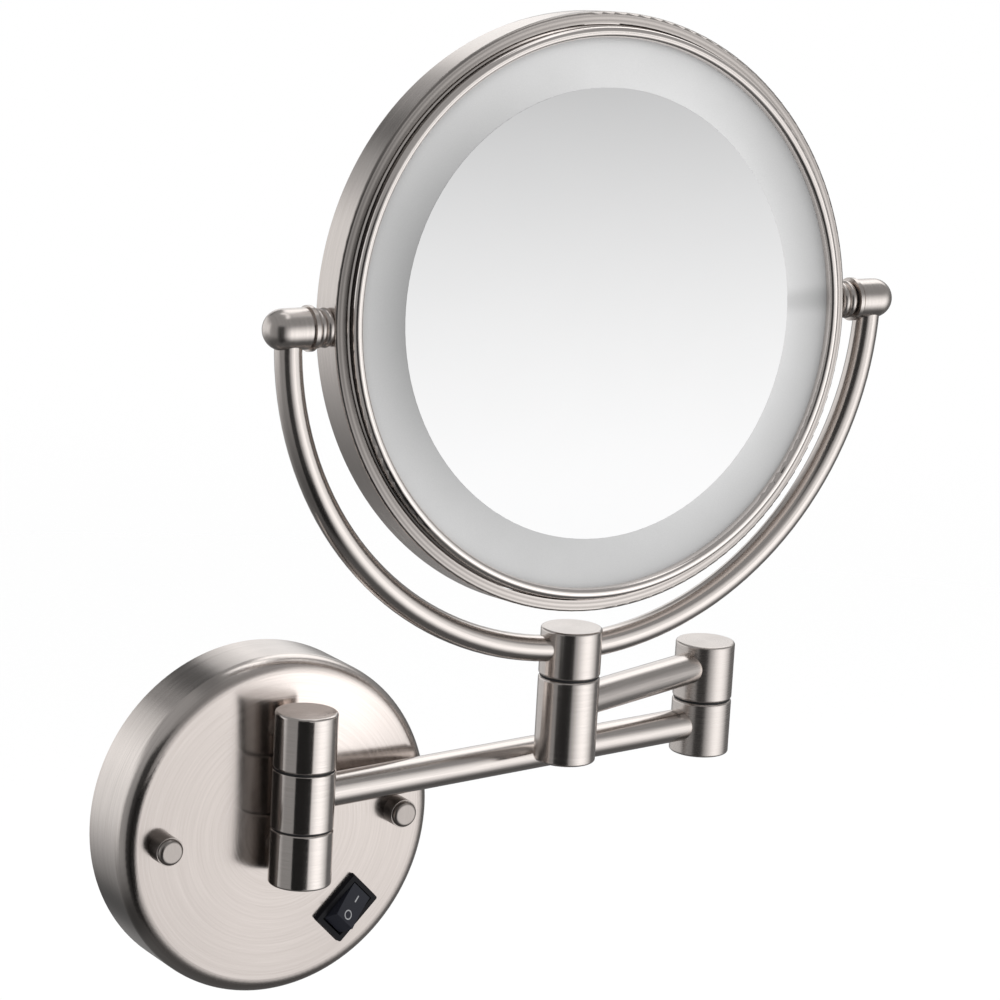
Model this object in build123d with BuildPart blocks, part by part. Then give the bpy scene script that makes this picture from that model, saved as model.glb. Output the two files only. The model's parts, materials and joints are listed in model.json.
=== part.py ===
from build123d import *
import os
from math import acos, cos, degrees, radians, sin, sqrt

# Lit shaving mirror on a folding wall arm, in millimetres
# Origin: middle of the wall plate's back. +Z is up, the wall is the plane Y = 0 and the room lies towards -Y.
os.makedirs("parts", exist_ok=True)

# Clearances
fit_gap = 0.02          # between two pieces that are fixed to each other
run_gap = 0.05          # between a pin and the bush that turns on it
rub_gap = 0.05          # between a washer and the face that slides on it

# Wall plate, a spun dish with a slightly domed face
plate_r = 60.2
plate_depth = 26.6
plate_dome_r = 800.0
plate_edge_r = 6.0
plate_t = 1.2

# Bracket behind the plate, with the two studs that carry the plate
bracket_length = 106.0
bracket_height = 84.0
bracket_width = 22.0
bracket_t = 2.0
bracket_corner_r = 5.5
wall_hole_spacing = 64.0
wall_hole_r = 2.25
stud_spacing = 90.8
stud_turn = 1.5         # slope of the line through the studs
stud_r = 2.0
nut_r = 5.0
nut_body = 5.4
nut_button_r = 4.6
nut_button_h = 1.6
nut_button_edge = 1.4
cable_hole_r = 4.0
grommet_wall = 1.5
grommet_lip = 1.5
grommet_edge_r = 0.5

# Knuckles and their washers
knuckle_r = 10.85
knuckle_edge = 0.9
arm_knuckle_edge = 0.3
washer_t = 0.6
washer_inset = 0.5

# Hinge at the wall
hinge_reach = 39.5
arm_z = 16.05           # inner arm's axis
arm_height = 10.9       # inner arm's axis above the lower end of its knuckle
arm_knuckle_h = 20.2
fixed_knuckle_h = 19.6
stem_r = 4.75
stem_seat = 6.5         # from the hinge axis to the bottom of the stem's socket
spigot_r = 3.5
spigot_length = 9.0
stem_nut_flats = 11.0
stem_nut_h = 3.0
hinge_pin_r = 3.5
hinge_pin_bore_r = 1.8
pin_end = 4.0           # metal left over the blind end of a pin's hole
bush_t = 1.2

# Arms, seen from above, angles from +X
inner_arm_length = 181.6
inner_arm_angle = 7.5
outer_arm_length = 81.8
outer_arm_angle = 199.3
arm_r = 5.85
arm_t = 1.0
arm_seat = 6.3          # from a knuckle's axis to the end of the tube
lead_width = 4.0
lead_t = 2.0

# Elbow, heights of the arms' axes are above the lower end of each knuckle
elbow_lower_h = 20.1
elbow_lower_arm_height = 11.05
elbow_upper_h = 21.0
elbow_upper_arm_height = 12.2

# Friction nut and cap in the lower end of the elbow and of the swivel
cap_r = 7.5
cap_t = 1.3
cap_edge_r = 0.4
nut_room = 0.2
hinge_nut_flats = 11.0
hinge_nut_h = 2.0
spring_t = 0.6
spring_room = 0.2

# Front knuckle, its turning upper part carries the yoke
front_lower_h = 30.5
front_arm_height = 19.9     # outer arm's axis above the lower end
front_upper_h = 17.0
yoke_height = 9.7           # yoke tube's axis above the upper part's lower face
swivel_pin_depth = 4.0

# Yoke
yoke_angle = -1.0
yoke_gap = 14.35            # from the drum's side to the yoke tube's axis
yoke_drop = 1.4             # middle of the bend below the pivot
yoke_tube_r = 4.65
yoke_tube_t = 1.0
yoke_end_angle = 1.0        # how far below the middle of the bend the tube ends

# Finials and pivots
finial_r = 7.0
finial_end = 9.05           # from the yoke tube's axis to the finial's tip
flange_r = 7.7
flange_t = 1.4
neck_r = 6.3
neck_t = 0.8
pivot_washer_t = 0.5
pivot_pin_r = 2.0
pivot_pin_depth = 3.6
collar_r = 6.7
collar_length = 5.75
collar_groove_r = 5.3
trunnion_r = 3.0
trunnion_nut_r = 4.2
trunnion_nut_t = 1.6
trunnion_end = 0.6

# Mirror head, forward distances from the pivot axis
mirror_tilt = 5.0
drum_r = 102.65
drum_t = 1.2
drum_front = 5.6
drum_back = -8.5
drum_edge_r = 1.0
lip_width = 3.95
groove_width = 0.9
bead_width = 3.8
bead_base = 1.3
skirt_t = 1.8
skirt_split = -1.0
skirt_gap = 0.2
lug_count = 6
lug_reach = 2.8
lug_t = 1.4
lug_width = 14.0
glass_gap = 0.2
front_glass_face = 6.9
front_glass_t = 3.0
frost_width = 16.9          # etched ring, from the bead inwards
etch_depth = 0.2
rear_glass_face = -9.7
rear_glass_t = 2.2
rear_glass_curve = 1500.0

# Light tray behind the frosted ring
tray_wall = 1.8
tray_floor = 1.4
tray_back = -2.4
tray_lap = 2.4              # how far the tray reaches in under the clear mirror
diffuser_t = 1.5
diffuser_ledge = 1.0
board_t = 1.0
board_margin = 3.0
led_count = 24
led_length = 3.5
led_width = 2.8
led_t = 0.7

# Rocker switch on the plate's face
switch_radius = 41.64
switch_angle = -50.22
switch_twist = 5.71
switch_length = 20.9
switch_width = 14.7
switch_corner_r = 1.0
switch_taper = 8.0
switch_proud = 1.8
switch_sink = 0.3           # frame let into the domed face
switch_body_length = 19.4
switch_body_width = 12.8
switch_body_depth = 12.0
rocker_pivot_depth = 3.0    # pivot below the plate's face; rocker heights are from the pivot
rocker_length = 13.0
rocker_width = 9.4
rocker_height = 6.8
rocker_hollow = 0.3
rocker_waist_length = 17.4
rocker_waist = 1.6
rocker_foot_length = 6.0
rocker_foot = -1.2
rocker_angle = 17.0
rocker_room = 0.5
mouth_length = 17.0
mouth_depth = 1.0
well_length = 18.6
well_depth = 5.5
terminal_width = 4.8
terminal_t = 0.8
terminal_length = 7.0
terminal_pitch = 9.0

# LED driver on the bracket
driver_length = 28.0
driver_height = 20.0
driver_depth = 14.0
driver_x = -24.0
driver_edge_r = 1.5

# Radii on the mirror head, which follow the drum
lip_r = drum_r - lip_width
skirt_r = lip_r - groove_width
skirt_inner_r = skirt_r - skirt_t
glass_r = skirt_inner_r - glass_gap
bead_inner_r = skirt_r - bead_width
clear_r = bead_inner_r - frost_width
tray_r = glass_r - glass_gap
tray_inner_r = clear_r - tray_lap
yoke_r = drum_r + yoke_gap
finial_tip = yoke_r + finial_end

# Levels
arm_knuckle_bottom = arm_z - arm_height
arm_knuckle_top = arm_knuckle_bottom + arm_knuckle_h
upper_knuckle_bottom = arm_knuckle_top + washer_t
upper_knuckle_top = upper_knuckle_bottom + fixed_knuckle_h
lower_knuckle_top = arm_knuckle_bottom - washer_t
lower_knuckle_bottom = lower_knuckle_top - fixed_knuckle_h
elbow_upper_bottom = arm_z - elbow_lower_arm_height + elbow_lower_h + washer_t
outer_arm_z = elbow_upper_bottom + elbow_upper_arm_height
front_lower_bottom = outer_arm_z - front_arm_height
front_lower_top = front_lower_bottom + front_lower_h
front_upper_bottom = front_lower_top + washer_t
pivot_z = front_upper_bottom + yoke_height + yoke_r + yoke_drop
washer_r = knuckle_r - washer_inset
bush_r = hinge_pin_r + run_gap + bush_t
recess_h = cap_t + nut_room + hinge_nut_h + spring_t

# Places and directions
up = Vector(0, 0, 1)
inner_dir = Vector(cos(radians(inner_arm_angle)), sin(radians(inner_arm_angle)), 0)
outer_dir = Vector(cos(radians(outer_arm_angle)), sin(radians(outer_arm_angle)), 0)
wall_hinge = Vector(0, -hinge_reach, 0)
elbow = wall_hinge + inner_dir * inner_arm_length
front = elbow + outer_dir * outer_arm_length
pivot = Vector(front.X, front.Y, pivot_z)
yoke_middle = pivot - up * yoke_drop
pivot_dir = Vector(cos(radians(yoke_angle)), sin(radians(yoke_angle)), 0)
yoke_forward = Vector(sin(radians(yoke_angle)), -cos(radians(yoke_angle)), 0)
head_forward = yoke_forward * cos(radians(mirror_tilt)) + up * sin(radians(mirror_tilt))
head_up = up * cos(radians(mirror_tilt)) - yoke_forward * sin(radians(mirror_tilt))

# Planes. Those on the arms have X along the arm, those on the head have Z out of the mirror.
plate_plane = Plane((0, 0, 0), x_dir=(1, 0, 0), z_dir=(0, -1, 0))
plate_section = Plane((0, 0, 0), x_dir=(1, 0, 0), z_dir=(0, 0, -1))
plate_axis = Axis((0, 0, 0), (0, -1, 0))
wall_hinge_plane = Plane(wall_hinge, x_dir=(1, 0, 0), z_dir=up)
inner_root = Plane(wall_hinge + up * arm_z, x_dir=inner_dir, z_dir=up)
inner_end = Plane(elbow + up * arm_z, x_dir=inner_dir, z_dir=up)
outer_root = Plane(elbow + up * outer_arm_z, x_dir=outer_dir, z_dir=up)
outer_end = Plane(front + up * outer_arm_z, x_dir=outer_dir, z_dir=up)
swivel_plane = Plane(front + up * front_upper_bottom, x_dir=pivot_dir, z_dir=up)
yoke_end_dir = pivot_dir * cos(radians(yoke_end_angle)) - up * sin(radians(yoke_end_angle))
yoke_section = Plane(yoke_middle, x_dir=yoke_end_dir, z_dir=yoke_forward.cross(yoke_end_dir) * -1)
yoke_axis = Axis(yoke_middle, yoke_forward * -1)
yoke_sweep = 180 - 2 * yoke_end_angle
head_plane = Plane(pivot, x_dir=pivot_dir, z_dir=head_forward)
head_section = Plane(pivot, x_dir=pivot_dir, z_dir=head_up * -1)
head_axis = Axis(pivot, head_forward)

# Wall plate: the outer form is kept whole as well, because the stems are shaped to it
plate_edge_h = plate_depth - plate_dome_r + sqrt(plate_dome_r**2 - plate_r**2)
dome_start = degrees(acos(plate_r / plate_dome_r))
with BuildPart() as plate_form:
    with BuildSketch(plate_section):
        with BuildLine():
            Polyline((0, plate_depth), (0, 0), (plate_r, 0), (plate_r, plate_edge_h))
            CenterArc((0, plate_depth - plate_dome_r), plate_dome_r, dome_start, 90 - dome_start)
        make_face()
    revolve(axis=plate_axis)
    face_edge = plate_form.edges().filter_by(lambda edge: edge.is_closed).sort_by(Axis.Y)[0]
    fillet(face_edge, plate_edge_r)

upper_stem_z = (upper_knuckle_bottom + upper_knuckle_top) / 2
lower_stem_z = (lower_knuckle_bottom + lower_knuckle_top) / 2
switch_x = switch_radius * cos(radians(switch_angle))
switch_z = switch_radius * sin(radians(switch_angle))
dome_centre = Vector(0, plate_dome_r - plate_depth, 0)
switch_y = dome_centre.Y - sqrt(plate_dome_r**2 - switch_radius**2)
switch_point = Vector(switch_x, switch_y, switch_z)
switch_out = (switch_point - dome_centre).normalized()
switch_tangent = Vector(-sin(radians(switch_angle)), 0, cos(radians(switch_angle)))
switch_along = switch_tangent.rotate(Axis((0, 0, 0), switch_out), switch_twist)
switch_plane = Plane(switch_point, x_dir=switch_along, z_dir=switch_out)

with BuildPart() as wall_plate:
    add(plate_form.part)
    offset(amount=-plate_t, openings=wall_plate.faces().sort_by(Axis.Y)[-1])
    with BuildSketch(plate_plane):
        with PolarLocations(stud_spacing / 2, 2, start_angle=stud_turn):
            Circle(stud_r + fit_gap)
        with Locations((0, upper_stem_z), (0, lower_stem_z)):
            Circle(spigot_r + fit_gap)
    extrude(amount=plate_depth, mode=Mode.SUBTRACT)
    with BuildSketch(switch_plane):
        Rectangle(switch_body_length + 2 * fit_gap, switch_body_width + 2 * fit_gap)
    extrude(amount=-switch_body_depth, mode=Mode.SUBTRACT)
    with BuildSketch(switch_plane):
        RectangleRounded(switch_length + 2 * fit_gap, switch_width + 2 * fit_gap, radius=switch_corner_r)
    extrude(amount=-switch_sink, both=True, mode=Mode.SUBTRACT)
wall_plate.part.label = "wall_plate"
export_step(wall_plate.part, "parts/wall_plate.step")

# Cross-shaped bracket on the wall, with the cable's grommet in the middle
with BuildPart() as wall_bracket:
    with BuildSketch(plate_plane):
        RectangleRounded(bracket_length, bracket_width, radius=bracket_corner_r)
        RectangleRounded(bracket_width, bracket_height, radius=bracket_corner_r)
        Circle(cable_hole_r + grommet_wall + fit_gap, mode=Mode.SUBTRACT)
        with PolarLocations(stud_spacing / 2, 2, start_angle=stud_turn):
            Circle(stud_r + fit_gap, mode=Mode.SUBTRACT)
        with GridLocations(0, wall_hole_spacing, 1, 2):
            Circle(wall_hole_r, mode=Mode.SUBTRACT)
    extrude(amount=bracket_t)
wall_bracket.part.label = "wall_bracket"
export_step(wall_bracket.part, "parts/wall_bracket.step")

with BuildPart() as cable_grommet:
    with BuildSketch(plate_plane):
        Circle(cable_hole_r + grommet_wall)
        Circle(cable_hole_r, mode=Mode.SUBTRACT)
    extrude(amount=bracket_t + grommet_lip)
    with BuildSketch(plate_plane.offset(bracket_t)):
        Circle(cable_hole_r + grommet_wall + grommet_lip)
        Circle(cable_hole_r, mode=Mode.SUBTRACT)
    extrude(amount=grommet_lip)
    fillet(cable_grommet.edges().sort_by(Axis.Y)[0], grommet_edge_r)
cable_grommet.part.label = "cable_grommet"
export_step(cable_grommet.part, "parts/cable_grommet.step")

# Studs run from the bracket into the cap nuts on the plate's face, each nut ends in a rounded button
nut_seat = plate_depth - plate_dome_r + sqrt(plate_dome_r**2 - (stud_spacing / 2 - nut_r) ** 2)
stud_end = nut_seat + nut_body
with BuildPart() as bracket_studs:
    with BuildSketch(plate_plane):
        with PolarLocations(stud_spacing / 2, 2, start_angle=stud_turn):
            Circle(stud_r)
    extrude(amount=stud_end)
bracket_studs.part.label = "bracket_studs"
export_step(bracket_studs.part, "parts/bracket_studs.step")

with BuildPart() as cap_nuts:
    with BuildSketch(plate_plane):
        with PolarLocations(stud_spacing / 2, 2, start_angle=stud_turn):
            Circle(nut_button_r)
    extrude(amount=nut_seat + nut_body + nut_button_h)
    fillet(cap_nuts.edges().filter_by(GeomType.CIRCLE).group_by(Axis.Y)[0], nut_button_edge)
    with BuildSketch(plate_plane):
        with PolarLocations(stud_spacing / 2, 2, start_angle=stud_turn):
            Circle(nut_r)
    extrude(amount=nut_seat + nut_body)
    add(plate_form.part, mode=Mode.SUBTRACT)
    with BuildSketch(plate_plane):
        with PolarLocations(stud_spacing / 2, 2, start_angle=stud_turn):
            Circle(stud_r + fit_gap)
    extrude(amount=stud_end + fit_gap, mode=Mode.SUBTRACT)
cap_nuts.part.label = "cap_nuts"
export_step(cap_nuts.part, "parts/cap_nuts.step")

# Fixed knuckles at the wall, each on a stem
with BuildPart() as top_knuckle:
    with BuildSketch(wall_hinge_plane.offset(upper_knuckle_bottom)):
        Circle(knuckle_r)
    extrude(amount=fixed_knuckle_h)
    fillet(top_knuckle.edges().filter_by(GeomType.CIRCLE), knuckle_edge)
    with BuildSketch(wall_hinge_plane.offset(upper_knuckle_bottom)):
        Circle(hinge_pin_r + fit_gap)
    extrude(amount=fixed_knuckle_h - pin_end, mode=Mode.SUBTRACT)
    with BuildSketch(plate_plane.offset(hinge_reach - stem_seat)):
        with Locations((0, upper_stem_z)):
            Circle(stem_r + fit_gap)
    extrude(amount=-knuckle_r, mode=Mode.SUBTRACT)
top_knuckle.part.label = "top_knuckle"
export_step(top_knuckle.part, "parts/top_knuckle.step")

with BuildPart() as bottom_knuckle:
    with BuildSketch(wall_hinge_plane.offset(lower_knuckle_bottom)):
        Circle(knuckle_r)
    extrude(amount=fixed_knuckle_h)
    fillet(bottom_knuckle.edges().filter_by(GeomType.CIRCLE), knuckle_edge)
    with BuildSketch(wall_hinge_plane.offset(lower_knuckle_top)):
        Circle(hinge_pin_r + fit_gap)
    extrude(amount=pin_end - fixed_knuckle_h, mode=Mode.SUBTRACT)
    with BuildSketch(plate_plane.offset(hinge_reach - stem_seat)):
        with Locations((0, lower_stem_z)):
            Circle(stem_r + fit_gap)
    extrude(amount=-knuckle_r, mode=Mode.SUBTRACT)
bottom_knuckle.part.label = "bottom_knuckle"
export_step(bottom_knuckle.part, "parts/bottom_knuckle.step")

stem_end = hinge_reach - stem_seat
spigot_start = stem_end - knuckle_r + stem_seat - spigot_length
with BuildPart() as knuckle_stems:
    with BuildSketch(plate_plane):
        with Locations((0, upper_stem_z), (0, lower_stem_z)):
            Circle(stem_r)
    extrude(amount=stem_end)
    add(plate_form.part, mode=Mode.SUBTRACT)
    with BuildSketch(plate_plane.offset(spigot_start)):
        with Locations((0, upper_stem_z), (0, lower_stem_z)):
            Circle(spigot_r)
    extrude(amount=stem_end - spigot_start)
knuckle_stems.part.label = "knuckle_stems"
export_step(knuckle_stems.part, "parts/knuckle_stems.step")

stem_nut_edge = upper_stem_z + stem_nut_flats
stem_nut_face = plate_depth - plate_dome_r + sqrt((plate_dome_r - plate_t) ** 2 - stem_nut_edge**2)
with BuildPart() as stem_nuts:
    with BuildSketch(plate_plane.offset(stem_nut_face)):
        with Locations((0, upper_stem_z), (0, lower_stem_z)):
            RegularPolygon(stem_nut_flats / 2, 6, major_radius=False)
            Circle(spigot_r + fit_gap, mode=Mode.SUBTRACT)
    extrude(amount=-stem_nut_h)
stem_nuts.part.label = "stem_nuts"
export_step(stem_nuts.part, "parts/stem_nuts.step")

with BuildPart() as wall_hinge_pin:
    with BuildSketch(wall_hinge_plane.offset(lower_knuckle_bottom + pin_end)):
        Circle(hinge_pin_r)
        Circle(hinge_pin_bore_r, mode=Mode.SUBTRACT)
    extrude(amount=upper_knuckle_top - lower_knuckle_bottom - 2 * pin_end)
wall_hinge_pin.part.label = "wall_hinge_pin"
export_step(wall_hinge_pin.part, "parts/wall_hinge_pin.step")

# Washers in the two seams, held by the fixed knuckles
with BuildPart() as wall_hinge_washers:
    for seam in (lower_knuckle_top, upper_knuckle_bottom - washer_t + rub_gap):
        with BuildSketch(wall_hinge_plane.offset(seam)):
            Circle(washer_r)
            Circle(hinge_pin_r + fit_gap, mode=Mode.SUBTRACT)
        extrude(amount=washer_t - rub_gap)
wall_hinge_washers.part.label = "wall_hinge_washers"
export_step(wall_hinge_washers.part, "parts/wall_hinge_washers.step")

# Rocker switch: frame with a body behind the plate, terminals on its back, and the rocker itself
with BuildPart() as switch_housing:
    with BuildSketch(switch_plane.offset(-switch_sink)):
        RectangleRounded(switch_length, switch_width, radius=switch_corner_r)
    extrude(amount=switch_sink + switch_proud, taper=switch_taper)
    with BuildSketch(switch_plane.offset(-switch_sink)):
        Rectangle(switch_body_length, switch_body_width)
    extrude(amount=switch_sink - switch_body_depth)
    with BuildSketch(switch_plane.offset(switch_proud)):
        Rectangle(mouth_length, rocker_width + 2 * rocker_room)
    extrude(amount=-mouth_depth, mode=Mode.SUBTRACT)
    with BuildSketch(switch_plane.offset(switch_proud - mouth_depth)):
        Rectangle(well_length, rocker_width + 2 * rocker_room)
    extrude(amount=mouth_depth - switch_proud - well_depth, mode=Mode.SUBTRACT)
switch_housing.part.label = "switch_housing"
export_step(switch_housing.part, "parts/switch_housing.step")

with BuildPart() as switch_terminals:
    with BuildSketch(switch_plane.offset(-switch_body_depth)):
        with GridLocations(terminal_pitch, 0, 2, 1):
            Rectangle(terminal_t, terminal_width)
    extrude(amount=-terminal_length)
switch_terminals.part.label = "switch_terminals"
export_step(switch_terminals.part, "parts/switch_terminals.step")

# The rocker turns about the frame's cross axis, and rests with its lower left end standing out
rocker_pivot = switch_point - switch_out * rocker_pivot_depth
rocker_along = switch_along.rotate(Axis((0, 0, 0), switch_plane.y_dir), rocker_angle)
rocker_side = Plane(rocker_pivot, x_dir=rocker_along, z_dir=switch_plane.y_dir * -1)
with BuildPart() as switch_rocker:
    with BuildSketch(rocker_side):
        with BuildLine():
            Polyline(
                (-rocker_length / 2, rocker_height),
                (-rocker_waist_length / 2, rocker_waist),
                (-rocker_foot_length / 2, rocker_foot),
                (rocker_foot_length / 2, rocker_foot),
                (rocker_waist_length / 2, rocker_waist),
                (rocker_length / 2, rocker_height),
            )
            ThreePointArc(
                (rocker_length / 2, rocker_height),
                (0, rocker_height - rocker_hollow),
                (-rocker_length / 2, rocker_height),
            )
        make_face()
    extrude(amount=rocker_width / 2, both=True)
switch_rocker.part.label = "switch_rocker"
export_step(switch_rocker.part, "parts/switch_rocker.step")

with BuildPart() as led_driver:
    with BuildSketch(plate_plane.offset(bracket_t)):
        with Locations((driver_x, 0)):
            Rectangle(driver_length, driver_height)
    extrude(amount=driver_depth)
    fillet(led_driver.edges().filter_by(Axis.Y), driver_edge_r)
led_driver.part.label = "led_driver"
export_step(led_driver.part, "parts/led_driver.step")

# Inner arm: knuckle between the two fixed ones, bush on the hinge pin, tube, and the elbow's lower knuckle
with BuildPart() as inner_arm_knuckle:
    with BuildSketch(inner_root.offset(-arm_height)):
        Circle(knuckle_r)
    extrude(amount=arm_knuckle_h)
    fillet(inner_arm_knuckle.edges().filter_by(GeomType.CIRCLE), arm_knuckle_edge)
    with BuildSketch(inner_root.offset(-arm_height)):
        Circle(bush_r + fit_gap)
    extrude(amount=arm_knuckle_h, mode=Mode.SUBTRACT)
    with BuildSketch(Plane(inner_root.origin, x_dir=up, z_dir=inner_dir).offset(arm_seat)):
        Circle(arm_r + fit_gap)
    extrude(amount=knuckle_r, mode=Mode.SUBTRACT)
inner_arm_knuckle.part.label = "inner_arm_knuckle"
export_step(inner_arm_knuckle.part, "parts/inner_arm_knuckle.step")

with BuildPart() as inner_arm_bush:
    with BuildSketch(inner_root.offset(-arm_height)):
        Circle(bush_r)
        Circle(hinge_pin_r + run_gap, mode=Mode.SUBTRACT)
    extrude(amount=arm_knuckle_h)
inner_arm_bush.part.label = "inner_arm_bush"
export_step(inner_arm_bush.part, "parts/inner_arm_bush.step")

# Both arm tubes carry a flat lead along the bottom of the bore
lead_drop = sqrt((arm_r - arm_t) ** 2 - (lead_width / 2) ** 2) - fit_gap
arms = (("inner", inner_root, inner_arm_length), ("outer", outer_root, outer_arm_length))
for arm, root, length in arms:
    tube_plane = Plane(root.origin, x_dir=root.y_dir, z_dir=root.x_dir).offset(arm_seat)
    tube_length = length - 2 * arm_seat
    with BuildPart() as arm_tube:
        with BuildSketch(tube_plane):
            Circle(arm_r)
            Circle(arm_r - arm_t, mode=Mode.SUBTRACT)
        extrude(amount=tube_length)
    arm_tube.part.label = f"{arm}_arm_tube"
    export_step(arm_tube.part, f"parts/{arm}_arm_tube.step")

    with BuildPart() as arm_lead:
        with BuildSketch(tube_plane):
            with Locations((0, lead_t / 2 - lead_drop)):
                SlotOverall(lead_width, lead_t)
        extrude(amount=tube_length)
    arm_lead.part.label = f"{arm}_arm_lead"
    export_step(arm_lead.part, f"parts/{arm}_arm_lead.step")

# Friction hinges at the elbow and under the yoke: the lower knuckle holds a bush and closes with a cap,
# the pin from the upper knuckle ends in a nut on a spring washer
elbow_pin_depth = elbow_upper_h - pin_end
hinges = (
    ("elbow", "elbow_lower_knuckle", inner_end, -elbow_lower_arm_height, elbow_lower_h, elbow_pin_depth),
    ("swivel", "front_lower_knuckle", outer_end, -front_arm_height, front_lower_h, swivel_pin_depth),
)
for hinge, knuckle_name, place, bottom, height, pin_depth in hinges:
    base = place.offset(bottom)
    with BuildPart() as lower_knuckle:
        with BuildSketch(base):
            Circle(knuckle_r)
        extrude(amount=height)
        fillet(lower_knuckle.edges().filter_by(GeomType.CIRCLE), knuckle_edge)
        with BuildSketch(base):
            Circle(cap_r + fit_gap)
        extrude(amount=recess_h, mode=Mode.SUBTRACT)
        with BuildSketch(base.offset(recess_h)):
            Circle(bush_r + fit_gap)
        extrude(amount=height - recess_h, mode=Mode.SUBTRACT)
        with BuildSketch(Plane(place.origin, x_dir=up, z_dir=place.x_dir * -1).offset(arm_seat)):
            Circle(arm_r + fit_gap)
        extrude(amount=knuckle_r, mode=Mode.SUBTRACT)
    lower_knuckle.part.label = knuckle_name
    export_step(lower_knuckle.part, f"parts/{knuckle_name}.step")

    with BuildPart() as bush:
        with BuildSketch(base.offset(recess_h)):
            Circle(bush_r)
            Circle(hinge_pin_r + run_gap, mode=Mode.SUBTRACT)
        extrude(amount=height - recess_h)
    bush.part.label = f"{hinge}_bush"
    export_step(bush.part, f"parts/{hinge}_bush.step")

    with BuildPart() as cap:
        with BuildSketch(base):
            Circle(cap_r)
        extrude(amount=cap_t)
        fillet(cap.edges().sort_by(Axis.Z)[0], cap_edge_r)
    cap.part.label = f"{hinge}_cap"
    export_step(cap.part, f"parts/{hinge}_cap.step")

    with BuildPart() as washer:
        with BuildSketch(base.offset(height)):
            Circle(washer_r)
            Circle(hinge_pin_r + run_gap, mode=Mode.SUBTRACT)
        extrude(amount=washer_t - rub_gap)
    washer.part.label = f"{hinge}_washer"
    export_step(washer.part, f"parts/{hinge}_washer.step")

    with BuildPart() as nut:
        with BuildSketch(base.offset(cap_t + nut_room)):
            RegularPolygon(hinge_nut_flats / 2, 6, major_radius=False)
            Circle(hinge_pin_r + fit_gap, mode=Mode.SUBTRACT)
        extrude(amount=hinge_nut_h)
    nut.part.label = f"{hinge}_nut"
    export_step(nut.part, f"parts/{hinge}_nut.step")

    with BuildPart() as spring:
        with BuildSketch(base.offset(cap_t + nut_room + hinge_nut_h)):
            Circle(cap_r - spring_room)
            Circle(hinge_pin_r + fit_gap, mode=Mode.SUBTRACT)
        extrude(amount=spring_t - rub_gap)
    spring.part.label = f"{hinge}_spring"
    export_step(spring.part, f"parts/{hinge}_spring.step")

    pin_start = cap_t + nut_room
    with BuildPart() as pin:
        with BuildSketch(base.offset(pin_start)):
            Circle(hinge_pin_r)
            Circle(hinge_pin_bore_r, mode=Mode.SUBTRACT)
        extrude(amount=height - pin_start + washer_t + pin_depth)
    pin.part.label = f"{hinge}_pin"
    export_step(pin.part, f"parts/{hinge}_pin.step")

with BuildPart() as elbow_upper_knuckle:
    with BuildSketch(outer_root.offset(-elbow_upper_arm_height)):
        Circle(knuckle_r)
    extrude(amount=elbow_upper_h)
    fillet(elbow_upper_knuckle.edges().filter_by(GeomType.CIRCLE), knuckle_edge)
    with BuildSketch(outer_root.offset(-elbow_upper_arm_height)):
        Circle(hinge_pin_r + fit_gap)
    extrude(amount=elbow_pin_depth, mode=Mode.SUBTRACT)
    with BuildSketch(Plane(outer_root.origin, x_dir=up, z_dir=outer_dir).offset(arm_seat)):
        Circle(arm_r + fit_gap)
    extrude(amount=knuckle_r, mode=Mode.SUBTRACT)
elbow_upper_knuckle.part.label = "elbow_upper_knuckle"
export_step(elbow_upper_knuckle.part, "parts/elbow_upper_knuckle.step")

# Yoke: the bent tube runs through the front upper knuckle and ends inside the finials
with BuildPart() as front_upper_knuckle:
    with BuildSketch(swivel_plane):
        Circle(knuckle_r)
    extrude(amount=front_upper_h)
    fillet(front_upper_knuckle.edges().filter_by(GeomType.CIRCLE), knuckle_edge)
    with BuildSketch(swivel_plane):
        Circle(hinge_pin_r + fit_gap)
    extrude(amount=swivel_pin_depth, mode=Mode.SUBTRACT)
    with BuildSketch(yoke_section):
        with Locations((yoke_r, 0)):
            Circle(yoke_tube_r + fit_gap)
    revolve(axis=yoke_axis, revolution_arc=yoke_sweep, mode=Mode.SUBTRACT)
front_upper_knuckle.part.label = "front_upper_knuckle"
export_step(front_upper_knuckle.part, "parts/front_upper_knuckle.step")

with BuildPart() as yoke_tube:
    with BuildSketch(yoke_section):
        with Locations((yoke_r, 0)):
            Circle(yoke_tube_r)
            Circle(yoke_tube_r - yoke_tube_t, mode=Mode.SUBTRACT)
    revolve(axis=yoke_axis, revolution_arc=yoke_sweep)
yoke_tube.part.label = "yoke_tube"
export_step(yoke_tube.part, "parts/yoke_tube.step")

# The lead rises along the outer side of the bore to the right-hand finial
with BuildPart() as yoke_lead:
    with BuildSketch(yoke_section):
        with Locations((yoke_r + yoke_tube_r - yoke_tube_t - lead_t / 2 - fit_gap, 0)):
            Circle(lead_t / 2)
    revolve(axis=yoke_axis, revolution_arc=yoke_sweep / 2)
yoke_lead.part.label = "yoke_lead"
export_step(yoke_lead.part, "parts/yoke_lead.step")

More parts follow.
